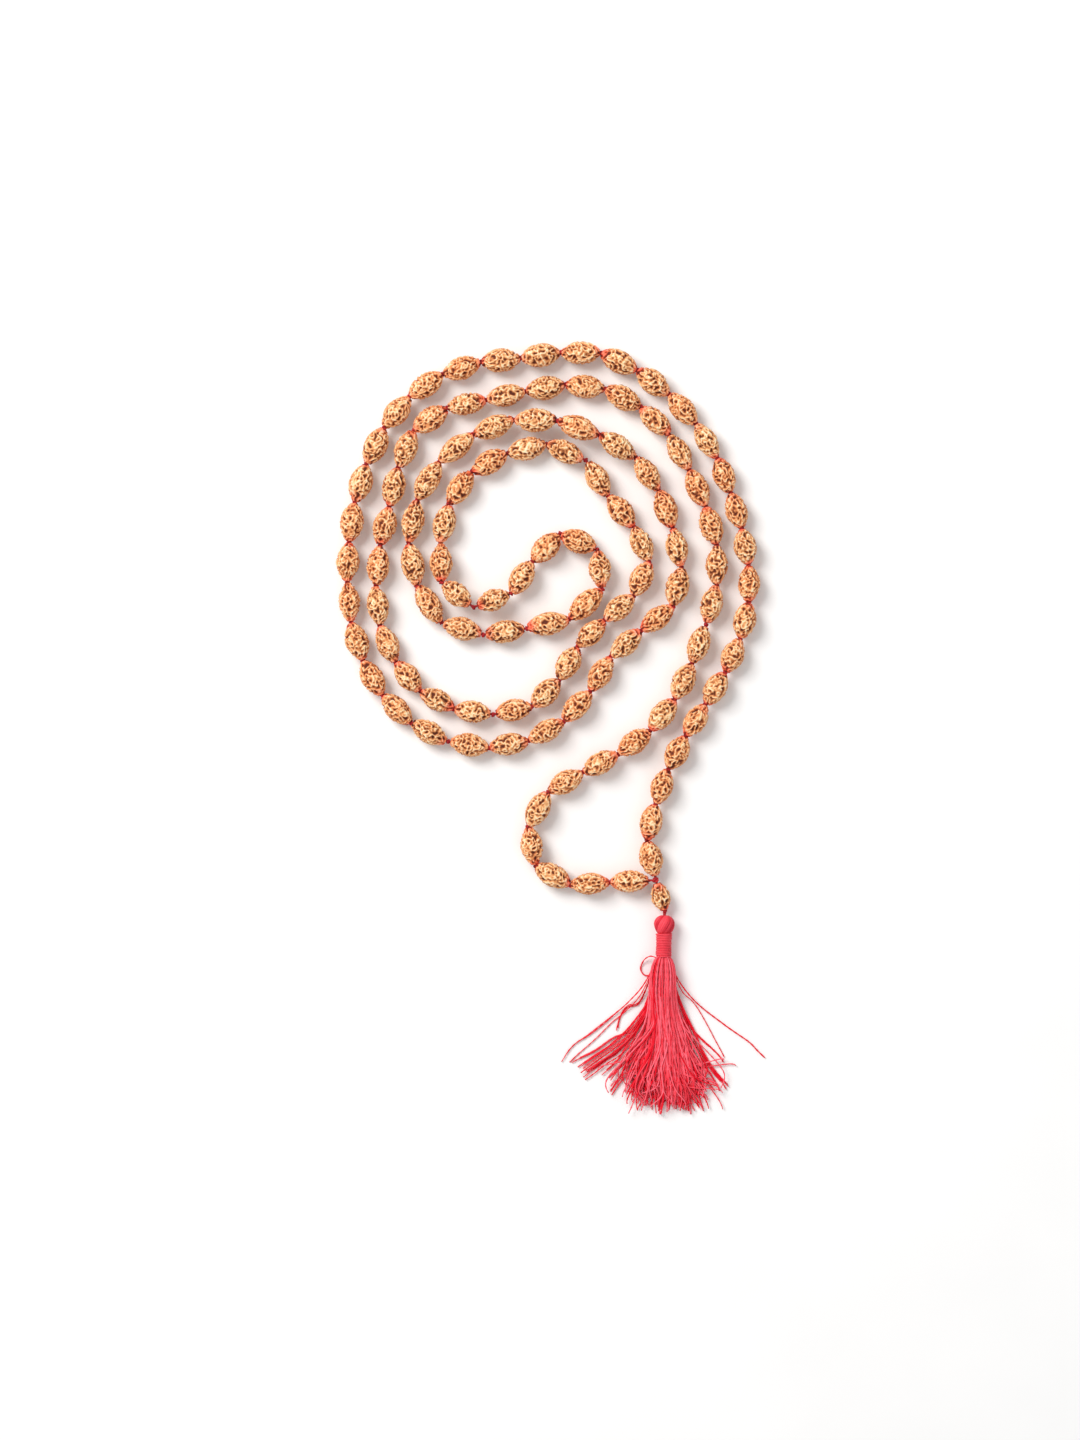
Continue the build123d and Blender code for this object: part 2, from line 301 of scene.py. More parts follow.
# ---- material helpers --------------------------------------------------------------------
class Look:
    """A node material being built up around its surface shader."""

    def __init__(self, name):
        self.material = bpy.data.materials.new(name)
        self.material.use_nodes = True
        self.nodes, self.links = self.material.node_tree.nodes, self.material.node_tree.links
        self.surface = self.nodes["Principled BSDF"]
        self.where = self.nodes.new("ShaderNodeTexCoord").outputs["Object"]

    def feed(self, socket, value):
        """Connects a socket, or sets it from a number or an RGB colour."""
        if isinstance(value, bpy.types.NodeSocket):
            self.links.new(value, socket)
        elif isinstance(value, tuple):
            socket.default_value = (*value, 1)
        else:
            socket.default_value = value

    def set(self, name, value):
        self.feed(self.surface.inputs[name], value)

    def mark(self, name):
        node = self.nodes.new("ShaderNodeAttribute")
        node.attribute_name = name
        return node.outputs["Fac"]

    def slant(self):
        """0 where the surface faces the eye, up to 1 where it is seen edge on."""
        return self.nodes.new("ShaderNodeLayerWeight").outputs["Facing"]

    def noise(self, size, detail=2):
        """Noise whose features are about this many millimetres across."""
        node = self.nodes.new("ShaderNodeTexNoise")
        self.feed(node.inputs["Vector"], self.where)
        self.feed(node.inputs["Scale"], 1 / (size * MM))
        self.feed(node.inputs["Detail"], detail)
        return node.outputs["Fac"]

    def maths(self, operation, *values, clamp=False):
        node = self.nodes.new("ShaderNodeMath")
        node.operation, node.use_clamp = operation, clamp
        for socket, value in zip(node.inputs, values):
            self.feed(socket, value)
        return node.outputs["Value"]

    def swing(self, factor, amount):
        """A noise turned into a swing of plus or minus half the amount."""
        return self.maths("MULTIPLY_ADD", factor, amount, -amount / 2)

    def ramp(self, factor, *stops):
        node = self.nodes.new("ShaderNodeValToRGB")
        elements = node.color_ramp.elements
        while len(elements) < len(stops):
            elements.new(0.5)
        for element, (position, colour) in zip(elements, stops):
            element.position, element.color = position, (*colour, 1)
        self.feed(node.inputs["Fac"], factor)
        return node.outputs["Color"]

    def mix(self, factor, first, second, blend="MIX"):
        node = self.nodes.new("ShaderNodeMix")
        node.data_type, node.blend_type = "RGBA", blend
        shown = {socket.name: socket for socket in node.inputs if socket.enabled}
        for name, value in (("Factor", factor), ("A", first), ("B", second)):
            self.feed(shown[name], value)
        return next(socket for socket in node.outputs if socket.enabled)

    def bump(self, height, strength, distance):
        node = self.nodes.new("ShaderNodeBump")
        self.feed(node.inputs["Height"], height)
        self.feed(node.inputs["Strength"], strength)
        self.feed(node.inputs["Distance"], distance * MM)
        self.set("Normal", node.outputs["Normal"])


def grey(level):
    """A colour without hue, which also serves as the value of a ramp."""
    return (level, level, level)


# Seed colours by height of the relief, from the bottom of a pit to the top of a ridge: painted shade
# darkens the pits and a painted highlight lightens the ridges.
WARM_SEED_PAINTED_SHADING = (
    (0.0, (0.11, 0.016, 0.006)), (0.2, (0.34, 0.078, 0.022)), (0.45, (0.74, 0.245, 0.080)),
    (0.75, (0.97, 0.46, 0.19)), (1.0, (1.0, 0.76, 0.46)))
PALE_SEED_PAINTED_SHADING = (
    (0.0, (0.09, 0.019, 0.008)), (0.2, (0.30, 0.092, 0.030)), (0.45, (0.70, 0.285, 0.100)),
    (0.75, (0.96, 0.55, 0.25)), (1.0, (1.0, 0.86, 0.58)))
SEED_ROUGHNESS = ((0.2, grey(0.8)), (0.8, grey(0.45)))  # by height too: ridges are rubbed smoother
SEED_SPECULAR = 0.3
SEED_GRAIN = 0.35  # size of the fine grain
SEED_MOTTLE = 2.2  # size of the patches of other colour
DYE_TINT = (1.0, 0.30, 0.33)
# Painted shade: the tint that a seed's rim is multiplied by where it is seen at a slant.
RIM_PAINTED_SHADE_TINT = (0.60, 0.33, 0.28)
RIM_PAINTED_SHADE_RISE = (1.8, -0.5)  # gain and start of the painted shade that darkens and reddens a seed's rim as it turns away from the eye
GRAIN_SWING = 0.3  # how far the grain changes the height that the colour is read at
MOTTLE_SWING = 0.9  # how far the patches change the tone
DYE_SWING = 1.6  # how patchy the dye is
SEED_BUMP = (0.4, 0.12)  # strength and depth


def seed_material():
    """Dry seed: an orange-tan body with painted shade in the pits and a painted highlight on the ridges,
    red dye that came off the cord, and painted shade that darkens the rim where the seed turns away from
    the eye.
    """
    look = Look("seed")
    grain, mottle = look.noise(SEED_GRAIN, 3), look.noise(SEED_MOTTLE, 2)
    height = look.maths("ADD", look.mark("relief"), look.swing(grain, GRAIN_SWING), clamp=True)
    # Painted shade in the pits and a painted highlight on the ridges: the colour is read by relief height.
    warm = look.ramp(height, *WARM_SEED_PAINTED_SHADING)
    pale = look.ramp(height, *PALE_SEED_PAINTED_SHADING)
    tone = look.maths("ADD", look.mark("tone"), look.swing(mottle, MOTTLE_SWING), clamp=True)
    body = look.mix(tone, warm, pale)
    dye = look.mark("dye")
    patchy = look.maths("ADD", look.swing(mottle, DYE_SWING), 1.0)
    patch = look.maths("MULTIPLY", dye, patchy, clamp=True)
    dyed = look.mix(1.0, body, DYE_TINT, "MULTIPLY")
    # Painted shade: where a seed turns away from the eye, its colour is multiplied darker and redder.
    rim_painted_shade = look.maths("MULTIPLY_ADD", look.slant(), *RIM_PAINTED_SHADE_RISE, clamp=True)
    skin = look.mix(patch, body, dyed)
    look.set("Base Color", look.mix(rim_painted_shade, skin, RIM_PAINTED_SHADE_TINT, "MULTIPLY"))
    look.set("Roughness", look.ramp(height, *SEED_ROUGHNESS))
    look.set("Specular IOR Level", SEED_SPECULAR)
    look.bump(grain, *SEED_BUMP)
    return look.material


THREAD_SPECULAR = 0.2
THREAD_BUMP = (0.8, 0.09)
SHADE_ENDS = (0.08, 0.95)  # shades at and beyond which a thread is at its darkest and lightest
DRIFT_SIZE = 5  # length over which a thread's shade changes
SHADE_SWING = 0.5  # how far the fibres and the drift each change the shade


def thread_material(name, dark, light, fibre, rough):
    """Dyed thread: the shade varies from thread to thread and along each, with fibres in the bump.

    It runs between a dark and a light colour, with fibres of a size in millimetres.
    """
    look = Look(name)
    fibres, drift = look.noise(fibre, 4), look.noise(DRIFT_SIZE, 2)
    level = look.maths("ADD", look.mark("tone"), look.swing(fibres, SHADE_SWING))
    level = look.maths("ADD", level, look.swing(drift, SHADE_SWING), clamp=True)
    look.set("Base Color", look.ramp(level, *zip(SHADE_ENDS, (dark, light))))
    look.set("Roughness", look.ramp(fibres, (0.3, grey(rough - 0.1)), (0.7, grey(rough + 0.12))))
    look.set("Specular IOR Level", THREAD_SPECULAR)
    look.bump(fibres, *THREAD_BUMP)
    return look.material


seed_look = seed_material()
cord_look = thread_material("red_cord", (0.20, 0.006, 0.010), (0.74, 0.040, 0.050), 0.22, 0.62)
wrap_look = thread_material("tassel_wrap", (0.56, 0.002, 0.020), (0.98, 0.09, 0.125), 0.25, 0.48)
thread_look = thread_material("tassel_thread", (0.80, 0.0, 0.016), (1.0, 0.16, 0.215), 0.25, 0.5)


# ---- seeds -------------------------------------------------------------------------------
class Seed:
    """A bead's place read from its CAD solid: middle, axis, length and radius in millimetres."""

    def __init__(self, points):
        middle = points.mean(axis=0)
        self.axis = np.linalg.eigh(np.cov((points - middle).T))[1][:, -1]
        reach = (points - middle) @ self.axis
        self.middle = middle + self.axis * (reach.min() + reach.max()) / 2
        self.length = reach.max() - reach.min()
        outward = (points - self.middle) - ((points - self.middle) @ self.axis)[:, None] * self.axis
        self.radius = np.linalg.norm(outward, axis=1).max()

    def end(self, sign):
        """The far end of the seed for 1, and the near end for -1."""
        return self.middle + self.axis * self.length * sign / 2

    def face_from(self, point):
        """Turns the axis so that the seed starts at the end nearer to a point, and says how far off."""
        if np.linalg.norm(self.end(1) - point) < np.linalg.norm(self.end(-1) - point):
            self.axis = -self.axis
        return np.linalg.norm(self.end(-1) - point)


def node_points(node):
    """A CAD node's points in millimetres, and its triangles' corners."""
    mesh = frame["nodes"][node].data
    points = np.empty(len(mesh.vertices) * 3, np.float32)
    mesh.vertices.foreach_get("co", points)
    corners = np.empty(len(mesh.loops), np.int32)
    mesh.loops.foreach_get("vertex_index", corners)
    return points.reshape(-1, 3).astype(float) / MM, corners.reshape(-1, 3)


WELD_DECIMALS = 4  # points that agree to this many decimals are one corner


def seeds_of(node):
    """The separate seeds of a CAD node, found by spreading the lowest label over touching triangles."""
    points, corners = node_points(node)
    _, places = np.unique(np.round(points, WELD_DECIMALS), axis=0, return_inverse=True)
    corners = places.reshape(-1)[corners]
    labels = np.arange(corners.max() + 1)
    while True:
        lowest = labels[corners].min(axis=1)
        spread = labels.copy()
        np.minimum.at(spread, corners.ravel(), np.repeat(lowest, 3))
        spread = spread[spread]
        if (spread == labels).all():
            break
        labels = spread
    own = labels[places.reshape(-1)]
    return [Seed(points[own == label]) for label in np.unique(own)]


def chain_from(seeds, start):
    """The seeds in the order that the cord threads them, each facing along the cord."""
    chain, rest, here = [], list(seeds), start
    while rest:
        nearest = min(rest, key=lambda seed: seed.face_from(here))
        nearest.face_from(here)
        rest.remove(nearest)
        chain.append(nearest)
        here = nearest.end(1)
    return chain


def seed_outline(length, radius, fullness):
    """Distance along the axis and radius of evenly spaced rings, from one mouth to the other."""
    half = length / 2
    x = np.linspace(-half, half, OUTLINE_STEPS)
    swell = np.maximum(1 - np.abs(x / half) ** fullness, 0) ** SHOULDER_POWER
    r = MOUTH_RADIUS + (radius - MOUTH_RADIUS) * swell
    travel = np.concatenate([[0], np.cumsum(np.hypot(np.diff(x), np.diff(r)))])
    even = np.linspace(0, travel[-1], SEED_ROWS)
    return np.interp(even, travel, x), np.interp(even, travel, r)


def seed_relief(points, angle, ring_radius, faces, key):
    """Height of the rough surface from 0 in a pit to 1 on a ridge, at points in the seed's own frame."""
    offset = rng.uniform(-NOISE_SPAN, NOISE_SPAN, 3)
    place = points + offset
    pull = np.stack([noise(place / WARP_SIZE, key + shift) for shift in range(3)], axis=-1) * WARP
    pulled = place + pull
    hollow = np.abs(noise(pulled / RIDGE_SIZE, key + 3))
    pit = np.maximum(noise(pulled / PIT_SIZE, key + 4), 0)
    wander = WANDER * noise(place / WANDER_SIZE, key + 5)
    from_line = np.abs((faces * (angle + wander) / math.pi) % 2 - 1) * math.pi / faces * ring_radius
    line = 1 - smoothstep(*LINE_EDGES, from_line)
    grain = noise(place / GRAIN_SIZE, key + 6)
    carved = RIDGE_LEVEL - RIDGE_WEIGHT * hollow - PIT_WEIGHT * pit - LINE_WEIGHT * line
    return np.clip(carved + GRAIN_WEIGHT * grain, 0, 1)


def seed_dye(x, length, angle):
    """How much red dye each point of a seed took from the cord at its two ends."""
    reach = rng.uniform(*DYE_REACH, 2)
    strength = rng.uniform(*DYE_STRENGTH, 2)
    heading = rng.uniform(0, FULL_TURN, 2)
    dye = np.zeros((len(x), len(angle)))
    for side, distance in enumerate((length / 2 + x, length / 2 - x)):
        lean = DYE_EVEN + (1 - DYE_EVEN) * np.cos(angle - heading[side])
        dye += strength[side] * (1 - smoothstep(0, reach[side], distance[:, None] / lean))
    return dye


def seed_bore(length):
    """Distance along the axis and radius of the bore's points, back from the far end to the near one."""
    mouth = length / 2 - BORE_INSET
    x = np.linspace(mouth, -mouth, BORE_ROWS)[:, None] + np.zeros(SEED_COLUMNS)
    return x, np.where(np.abs(x) > length / 2 - FUNNEL_REACH, FUNNEL_RADIUS, BORE_RADIUS)


def add_seed(surface, seed, key, tip_reach=TIP_REACH):
    """One rough seed as a closed surface that also lines its bore."""
    length, radius = seed.length + 2 * tip_reach, seed.radius * rng.uniform(*SLIMNESS)
    x, r = seed_outline(length, radius, rng.uniform(*FULLNESS))
    slope_x, slope_r = np.gradient(x), np.gradient(r)
    scale = np.hypot(slope_x, slope_r)
    angle = np.arange(SEED_COLUMNS) * (FULL_TURN / SEED_COLUMNS)
    faces = int(rng.choice(FACE_COUNTS))
    lobes = 1 + LOBE_DEPTH * (np.abs(np.sin(faces * angle / 2)) - 1) * (r[:, None] / radius)
    ring = r[:, None] * lobes
    own = np.stack([x[:, None] + 0 * ring, ring * np.cos(angle), ring * np.sin(angle)], axis=-1)
    relief = seed_relief(own, angle + math.pi / faces, ring, faces, key)
    calm = smoothstep(0, END_CALM, length / 2 - np.abs(x)[:, None])
    depth = rng.uniform(*RELIEF_DEPTH)
    sink = -depth * (1 - relief) * (END_RELIEF + (1 - END_RELIEF) * calm)
    across = ring + sink * (slope_x / scale)[:, None]
    forward = x[:, None] - sink * (slope_r / scale)[:, None]
    dye = seed_dye(x, length, angle)
    bore_x, bore_r = seed_bore(length)
    forward = np.concatenate([forward, bore_x])
    across = np.concatenate([across, bore_r])
    bare = np.zeros((BORE_ROWS, SEED_COLUMNS))
    axis = unit(seed.axis + np.append(rng.uniform(-TILT, TILT, 2), 0.0))
    side, up = basis(axis)
    roll = rng.uniform(0, FULL_TURN)
    spokes = np.cos(angle + roll)[:, None] * side + np.sin(angle + roll)[:, None] * up
    points = seed.middle + forward[..., None] * axis + across[..., None] * spokes
    surface.add(
        points.reshape(-1, 3),
        ring_quads(SEED_ROWS + BORE_ROWS, SEED_COLUMNS, closed=True),
        relief=np.concatenate([relief, bare]).ravel(),
        dye=np.concatenate([dye, bare]).ravel(),
        tone=rng.uniform(*SEED_TONES),
    )


# ---- cord and knots ----------------------------------------------------------------------
def add_cord(surface, start, end, radius=CORD_RADIUS):
    """A straight run of two-ply cord."""
    length = np.linalg.norm(end - start)
    share = np.linspace(0, 1, max(3, int(length / CORD_STEP)))[:, None]
    path = start + (end - start) * share
    add_tubes(surface, path[None], radius, CORD_COLUMNS, PLY_PITCH, tone=rng.uniform(*CORD_TONES))


def add_knot(surface, centre, along, size=1.0):
    """An overhand knot pulled tight round the cord: a trefoil whose axis lies along the cord."""
    t = np.linspace(0, FULL_TURN, KNOT_STEPS)
    side, up = basis(along)
    roll = rng.uniform(0, FULL_TURN)
    x = (np.sin(t) + 2 * np.sin(2 * t)) / 3
    y = (np.cos(t) - 2 * np.cos(2 * t)) / 3
    across = x * math.cos(roll) - y * math.sin(roll)
    rise = x * math.sin(roll) + y * math.cos(roll)
    lift = -np.sin(3 * t)[:, None] * along * KNOT_HEIGHT
    path = centre + size * (KNOT_TURN * (across[:, None] * side + rise[:, None] * up) + lift)
    strand = KNOT_STRAND * size
    add_tubes(surface, path[None], strand, CORD_COLUMNS, KNOT_PITCH, tone=rng.uniform(*KNOT_TONES))


def knot_between(first, second, facing=-1):
    """Where the axes of two neighbouring seeds meet, which is the centre of the knot between them.

    The second seed turns its start to the knot, or its far end where facing is 1.
    """
    near, far = first.end(1), second.end(facing)
    back = second.axis * facing
    bend = math.acos(min(1.0, float(first.axis @ -back)))
    reach = np.linalg.norm(far - near) / (2 * math.cos(bend / 2))
    return (near + first.axis * reach + far + back * reach) / 2


def joint_place(name):
    """Where a joint turns, in millimetres."""
    return np.array(joints[name]["pos_m"]) / MM


# The links of the strand by name, each with the knot it hangs from (its start) and its seeds in
# order, and the knot at its far end, which is where the next link starts. The loop is open where
# the hairpin meets the last link of the way back, so those two share one far knot.
LAST_BACK = "back_12"
starts, strung, far_knots = {}, {}, {}
for joint in frame["joints"]:
    if joint["child"].startswith("link_"):
        name = joint["child"].removeprefix("link_")
        starts[name] = joint_place(joint["name"])
        strung[name] = chain_from(seeds_of(f"beads_{name}"), starts[name])
        if joint["parent"].startswith("link_"):
            far_knots[joint["parent"].removeprefix("link_")] = starts[name]
loop_end = knot_between(strung["hairpin"][-1], strung[LAST_BACK][-1], facing=1)
far_knots["hairpin"] = loop_end
far_knots[LAST_BACK] = loop_end

# The lifted hairpin bends sharply at its two ends, so the tips that meet there stay short.
meeting_links = ("hairpin", "out_13", LAST_BACK)
hinge_seeds = [strung["hairpin"][0], *(strung[name][-1] for name in meeting_links)]


def add_link_seeds(name, first_key):
    """The seeds of one link, each with its own noise keys."""
    rough = Surface()
    for number, seed in enumerate(strung[name]):
        tip_reach = 0.0 if seed in hinge_seeds else TIP_REACH
        add_seed(rough, seed, NOISE_KEYS * (first_key + number), tip_reach)
    rough.piece(f"seeds_{name}", seed_look, f"beads_{name}")


def add_link_cord(name):
    """The cord of one link, with a knot after every seed. It stops short of a knot of another link."""
    seeds = strung[name]
    between = [knot_between(first, second) for first, second in zip(seeds, seeds[1:])]
    corners = [starts[name], *between, far_knots[name]]
    cord = Surface()
    for number, (near, far) in enumerate(zip(corners, corners[1:])):
        along = unit(far - near)
        first_gap = KNOT_STRAND if number == 0 else 0.0
        last_gap = KNOT_STRAND if name == LAST_BACK and number == len(seeds) - 1 else 0.0
        add_cord(cord, near + along * first_gap, far - along * last_gap)
        if last_gap == 0.0:
            add_knot(cord, far, along)
    cord.piece(f"cord_and_knots_{name}", cord_look, f"cord_{name}")


for place, name in enumerate(strung):
    add_link_seeds(name, place * SEEDS_PER_LINK)
    add_link_cord(name)

# ---- guru seed, gathering knot and hanger knot -------------------------------------------
GATHER_SIZE = 1.3  # sizes of knots as a multiple of the knot between two seeds
SECOND_TURN_SIZE = 1.15
SECOND_TURN_BACK = 0.45  # how far the gathering knot's second turn lies behind its first
SECOND_TURN_LEAN = np.array((0.5, 0.2, 0.3))
HANGER_SIZE = 0.9
HANGER_CLEAR = 0.9  # from the end of the guru seed's cord to the hanger knot's centre

gather = joint_place("guru_spin")
hanger = joint_place("tassel_swing")
guru_axis = unit(hanger - gather)

guru_seed = Surface()
add_seed(guru_seed, chain_from(seeds_of("guru_bead"), gather)[0], GURU_KEY)
guru_seed.piece("guru_seed", seed_look, "guru_bead")

gathering = Surface()
add_knot(gathering, gather, guru_axis, GATHER_SIZE)
second_turn = gather - guru_axis * SECOND_TURN_BACK
add_knot(gathering, second_turn, unit(guru_axis + SECOND_TURN_LEAN), SECOND_TURN_SIZE)
add_cord(gathering, gather, hanger - guru_axis * HANGER_CLEAR)
gathering.piece("gathering_knot", cord_look, "guru_cord")

hanging = Surface()
add_knot(hanging, hanger, guru_axis, HANGER_SIZE)
hanging.piece("hanger_knot_wound", cord_look, "hanger_knot")

# ---- tassel ------------------------------------------------------------------------------
# Its own directions: across to the right, down along its length, and up from the table.
across_tassel = -np.array(joints["tassel_lift"]["axis"])
down_tassel = np.array((across_tassel[1], -across_tassel[0], 0.0))
axis_height = hanger[2] - TABLE_Z / MM  # of the tassel's straight upper part, above the table


def tassel_points(across, down, height):
    """Points from distances across and down from the hanger knot, and a height above the table."""
    flat = np.array((hanger[0], hanger[1], TABLE_Z / MM))
    return (flat + np.asarray(across)[..., None] * across_tassel + np.asarray(down)[..., None] * down_tassel
            + np.asarray(height)[..., None] * UP)


def tassel_reach(node):
    """How far down from the hanger knot a tassel node starts and ends."""
    points = node_points(node)[0]
    down = (points - hanger) @ down_tassel
    return down.min(), down.max()


def node_radius(node):
    """Half the height of a round node that lies along the table."""
    low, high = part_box(node)
    return (high.z - low.z) / MM / 2


TIE_START = 0.4
TIE_RADIUS = 0.6
CORE_COLUMNS = 36  # round the plain core that fills the head and the neck

tie = Surface()
tie_end = tassel_reach("tassel_cord")[1]
add_cord(tie, hanger + down_tassel * TIE_START, hanger + down_tassel * tie_end, TIE_RADIUS)
tie.piece("tassel_tie", cord_look, "tassel_cord")

# The head is a bundle of threads folded over and tied below, so its threads run from pole to pole.
HEAD_THREADS = 27
HEAD_THREAD = 0.37  # radius of one
HEAD_COLUMNS = 10
HEAD_STEPS = 30
HEAD_POLE = 0.6  # radius of the hole at the top, for the tie
HEAD_THROAT = 1.9  # radius at the bottom, where the threads go into the neck
HEAD_ROUNDNESS = 0.95  # a power: below 1 gives a fuller ball
HEAD_TWIST = 1.5  # how far a thread turns round the head, in radians
HEAD_WOBBLE = 0.05  # how far it strays from that, in radians
HEAD_UNEVEN = (-0.05, 0.06)  # how far a thread stands in or out
HEAD_DROOP = 0.35  # how far the threads run on into the neck
HEAD_TAPER = 0.45  # share of its thickness that a thread keeps at the poles
HEAD_CORE_INSET = HEAD_THREAD * 1.4
HEAD_CORE_TONE = 0.15
HEAD_TONES = (0.05, 1.0)
head_radius = node_radius("head_knot")


def head_radius_at(share):
    """Radius of the head from its top at 0 to its bottom at 1."""
    ends = HEAD_POLE + (HEAD_THROAT - HEAD_POLE) * smoothstep(0.3, 1.0, share)
    return ends + (head_radius - ends) * np.sin(share * math.pi) ** HEAD_ROUNDNESS


def make_head():
    """The ball of threads at the tassel's top, over a plain core."""
    top, bottom = tassel_reach("head_knot")
    share = np.linspace(0, 1, HEAD_STEPS)
    belly = np.sin(share * math.pi)
    start_angle = np.arange(HEAD_THREADS) * (FULL_TURN / HEAD_THREADS)
    wobble = rng.uniform(-HEAD_WOBBLE, HEAD_WOBBLE, HEAD_THREADS)[:, None] * belly
    turn = start_angle[:, None] + HEAD_TWIST * share + wobble
    uneven = rng.uniform(*HEAD_UNEVEN, HEAD_THREADS)[:, None]
    ring = head_radius_at(share) - HEAD_THREAD + uneven
    down = (top + bottom) / 2 - (bottom - top) / 2 * np.cos(share * math.pi) + HEAD_DROOP * share**6
    threads = tassel_points(
        ring * np.cos(turn), np.broadcast_to(down, turn.shape), axis_height + ring * np.sin(turn))
    radii = HEAD_THREAD * (HEAD_TAPER + (1 - HEAD_TAPER) * belly)
    head = Surface()
    add_tubes(head, threads, radii, HEAD_COLUMNS, tone=rng.uniform(*HEAD_TONES, HEAD_THREADS))
    core = tassel_points(np.zeros(HEAD_STEPS), down, np.full(HEAD_STEPS, axis_height))
    add_tubes(head, core[None], head_radius_at(share) - HEAD_CORE_INSET, CORE_COLUMNS, tone=HEAD_CORE_TONE)
    head.piece("head_knot_threads", wrap_look, "head_knot")


make_head()

# The neck is one thread wound round and round below the head.
WRAP_THREAD = 0.3  # radius
WRAP_COLUMNS = 8
WRAP_PITCH = 0.54  # from one turn to the next
WRAP_PLY_PITCH = 0.9
WRAP_STEPS_PER_TURN = 22
WRAP_SWELL = 0.22  # how far the soft winding bulges past the CAD solid
WRAP_TONE = 0.62
WAIST = 0.16  # how far the winding pulls in at its middle
WAIST_RIPPLE = 0.05  # how unevenly it lies
RIPPLE_RATE = 2.4  # radians of that ripple for each turn
NECK_CORE_INSET = 0.12  # from the winding's middle line in to the core
NECK_CORE_ENDS = 0.3  # from the neck's ends to the core's
NECK_CORE_STEPS = 12
NECK_CORE_TONE = 0.2
neck_top, neck_bottom = tassel_reach("neck_wrap")


def make_neck():
    """The winding round the tassel's neck, over a plain core."""
    radius = node_radius("neck_wrap") - WRAP_THREAD + WRAP_SWELL
    turns = (neck_bottom - neck_top - 2 * WRAP_THREAD) / WRAP_PITCH
    wound = np.linspace(0, 1, int(turns * WRAP_STEPS_PER_TURN))
    around = wound * turns * 2 * math.pi
    waist = radius - WAIST * np.sin(wound * math.pi) + WAIST_RIPPLE * np.sin(wound * turns * RIPPLE_RATE)
    coil_down = neck_top + WRAP_THREAD + wound * turns * WRAP_PITCH
    coil = tassel_points(waist * np.cos(around), coil_down, axis_height + waist * np.sin(around))
    neck = Surface()
    add_tubes(neck, coil[None], WRAP_THREAD, WRAP_COLUMNS, WRAP_PLY_PITCH, tone=WRAP_TONE)
    share = np.linspace(0, 1, NECK_CORE_STEPS)
    core_down = neck_top + NECK_CORE_ENDS + share * (neck_bottom - neck_top - 2 * NECK_CORE_ENDS)
    core = tassel_points(np.zeros(NECK_CORE_STEPS), core_down, np.full(NECK_CORE_STEPS, axis_height))
    add_tubes(neck, core[None], radius - NECK_CORE_INSET, CORE_COLUMNS, tone=NECK_CORE_TONE)
    neck.piece("neck_winding", wrap_look, "neck_wrap")


make_neck()

# The skirt: locks of threads that fan out, sink to the table and end in frayed kinks. It is made in
# several pieces of the same kind, which keeps each one's mesh small.
SKIRT_PIECES = 5
LOCKS_PER_PIECE = 12
THREADS_PER_LOCK = 8
THREAD = 0.27  # radius
THREAD_SIZES = (0.8, 1.15)
THREAD_COLUMNS = 8
THREAD_STEPS = 120
THREAD_PITCH = 2.2  # length in which a thread's twist repeats
THREAD_GATHERED = 0.62  # share of its thickness that a thread has inside the neck
THREAD_WORN = 0.25  # share of its thickness that it loses at its tip
SKIRT_TOP = neck_bottom - 3.0
SKIRT_END = tassel_reach("thread_bundle")[1]
FAN_START = neck_bottom - 0.5
BUNDLE_RADIUS = 1.8  # of the threads where they leave the neck
SKIRT_SWELL = 2.7  # how much wider to each side they get just below it
SWELL_RATE = 18
SKIRT_FAN = 7.4  # how much wider still to each side, in the lower part
FAN_LOW = 0.26  # share of the length at which that part starts
BELLY = 1.1  # how much thicker the skirt is at its thickest
BELLY_PLACE, BELLY_SPAN = 0.16, 0.12  # where that is and how far it reaches, as shares of the length
SKIRT_FLATTENING = 0.4
SKIRT_LEAN = 2.4  # how far the skirt's end lies to the right of the neck
LYING_HEIGHT = 2.1  # of the skirt's middle once it lies on the table
TABLE_CLEAR = 0.03

LOCK_DRIFT, THREAD_DRIFT = 0.2, 0.12  # how far a lock, and a thread in it, fans out or in
LOCK_SWAY, THREAD_SWAY = 1.2, 0.8  # how far they sway to the side
LOCK_OVERRUN = 1.0  # how far the longest lock runs past the CAD bundle
LOCK_ROUNDING = 8.5  # how much shorter a lock is at the skirt's edge
LOCK_SHORTENING = 5.5  # at most this much shorter at random
THREAD_SHORTENING = 2.8
LOCK_TONES = (0.0, 0.95)
THREAD_SIDE, THREAD_RISE = 0.10, 0.22  # how far a thread lies from its lock's middle
CROSSING = (3.6, 1.4, 0.4)  # a strong stray, a slight one, and the share of threads with a strong one
CURL = (4.4, 1.4, 0.45)  # the same for the curl of a thread's tip
CURL_STARTS = (0.66, 0.9)  # share of the length at which a tip starts to curl
CURL_SHORTENING = 0.5  # how much of its curl a tip is drawn up
WAVE_SIZES, WAVE_RATES = (0.15, 0.8), (9, 22)
LIFT_SIZE, LIFT_RATE = 0.35, 17  # slow waves up and down
TIP_DROP = 0.55  # how far a tip drops towards the table, as a share of its height
RISE_PAINTED_SHADE = 0.32  # painted shade: how much lighter the upper threads of a lock are, and darker the lower ones
THREAD_SHADE = 0.25


def fan_share(down):
    """How far down the fanned part of the skirt a point is, from 0 to 1."""
    return np.clip((down - FAN_START) / (SKIRT_END - FAN_START), 0, 1)


def skirt_half_width(down):
    """Half the width of the skirt: it swells quickly below the neck, then fans out in its lower part."""
    share = fan_share(down)
    swell = SKIRT_SWELL * (1 - np.exp(-share * SWELL_RATE))
    return BUNDLE_RADIUS + swell + SKIRT_FAN * smoothstep(FAN_LOW, 1.0, share)


